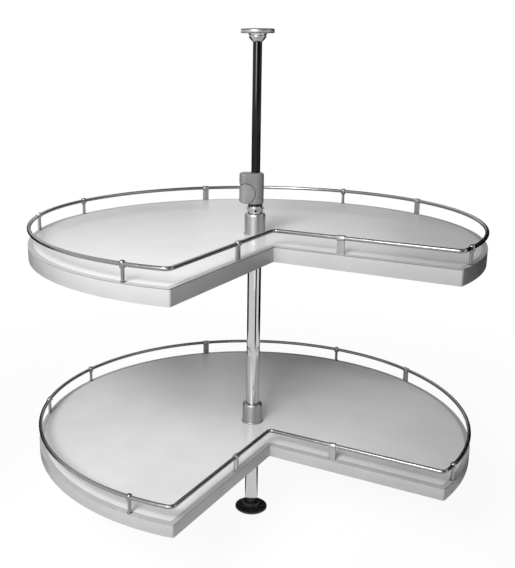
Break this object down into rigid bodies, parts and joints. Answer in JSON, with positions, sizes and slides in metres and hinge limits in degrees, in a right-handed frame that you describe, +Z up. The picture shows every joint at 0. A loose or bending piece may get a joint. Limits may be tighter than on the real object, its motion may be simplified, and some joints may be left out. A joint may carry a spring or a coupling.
{
  "type": "corner carousel fitting",
  "caption": "Corner cabinet carousel with two three-quarter-round railed trays that turn on a telescopic pole clamped between the cabinet's floor and top.",
  "frame": {"origin": "on the pole's axis at the underside of the foot, which is the centre of the foot's screw circle", "axes": "+Z up along the pole; the notch of both trays opens towards +X and -Y, with its edges along X and Y"},
  "size_m": [0.7111, 0.7123, 0.8],
  "materials": {
    "bright_chrome": "polished chrome plate",
    "black_chrome": "polished black chrome",
    "melamine_board": "satin light grey melamine on chipboard",
    "rim_plastic": "satin light grey",
    "hub_metal": "satin silver",
    "die_cast": "silver grey zinc casting",
    "clamp_grey": "satin grey coating",
    "steel": "zinc plated",
    "black_plastic": "moulded black",
    "natural_plastic": "natural acetal",
    "rubber_pad": "black anti-slip"
  },
  "bodies": {
    "pole": {"foot_disc": "black_plastic", "foot_bolt": "steel", "foot_plug": "natural_plastic", "pole_tube": "bright_chrome", "tube_top_bush": "black_plastic", "clamp_body": "clamp_grey", "clamp_pin": "steel", "stop_ring": "die_cast", "stop_ring_screw": "steel"},
    "lever": {"clamp_lever": "clamp_grey"},
    "jaw": {"clamp_jaw": "die_cast"},
    "rod": {"rod_tube": "black_chrome", "rod_guide": "natural_plastic", "top_cup": "bright_chrome", "top_plate": "die_cast", "top_screw": "steel", "top_pad": "rubber_pad"},
    "lower_support": {"lower_collar": "die_cast", "lower_collar_screw": "steel", "lower_thrust_washer": "natural_plastic"},
    "lower_tray": {"lower_board": "melamine_board", "lower_rim": "rim_plastic", "lower_rail": "bright_chrome", "lower_strip_posts": "bright_chrome", "lower_pin_posts": "bright_chrome", "lower_hub": "hub_metal", "lower_hub_trim": "die_cast", "lower_hub_bushes": "natural_plastic", "lower_flange_screws": "steel"},
    "upper_support": {"upper_collar": "die_cast", "upper_collar_screw": "steel", "upper_thrust_washer": "natural_plastic"},
    "upper_tray": {"upper_board": "melamine_board", "upper_rim": "rim_plastic", "upper_rail": "bright_chrome", "upper_strip_posts": "bright_chrome", "upper_pin_posts": "bright_chrome", "upper_hub": "hub_metal", "upper_hub_trim": "die_cast", "upper_hub_bushes": "natural_plastic", "upper_flange_screws": "steel"}
  },
  "joints": [
    {"name": "pole_extend", "type": "slide", "parent": "pole", "child": "rod", "axis": [0, 0, 1], "range_m": [-0.13, 0.02]},
    {"name": "lever_open", "type": "hinge", "parent": "pole", "child": "lever", "pos_m": [-0.01474, -0.01032, 0.563], "axis": [-0.5736, 0.8192, 0], "range_deg": [0, 75]},
    {"name": "jaw_release", "type": "slide", "parent": "pole", "child": "jaw", "axis": [-0.8192, -0.5736, 0], "range_m": [0, 0.0008]},
    {"name": "lower_height", "type": "slide", "parent": "pole", "child": "lower_support", "axis": [0, 0, 1], "range_m": [-0.09, 0.06]},
    {"name": "lower_turn", "type": "hinge", "parent": "lower_support", "child": "lower_tray", "pos_m": [0, 0, 0.142], "axis": [0, 0, 1], "continuous": true},
    {"name": "upper_height", "type": "slide", "parent": "pole", "child": "upper_support", "axis": [0, 0, 1], "range_m": [-0.12, 0]},
    {"name": "upper_turn", "type": "hinge", "parent": "upper_support", "child": "upper_tray", "pos_m": [0, 0, 0.461], "axis": [0, 0, 1], "continuous": true}
  ],
  "couplings": [
    {"joint": "jaw_release", "follows": "lever_open", "m_per_rad": 0.000611}
  ]
}
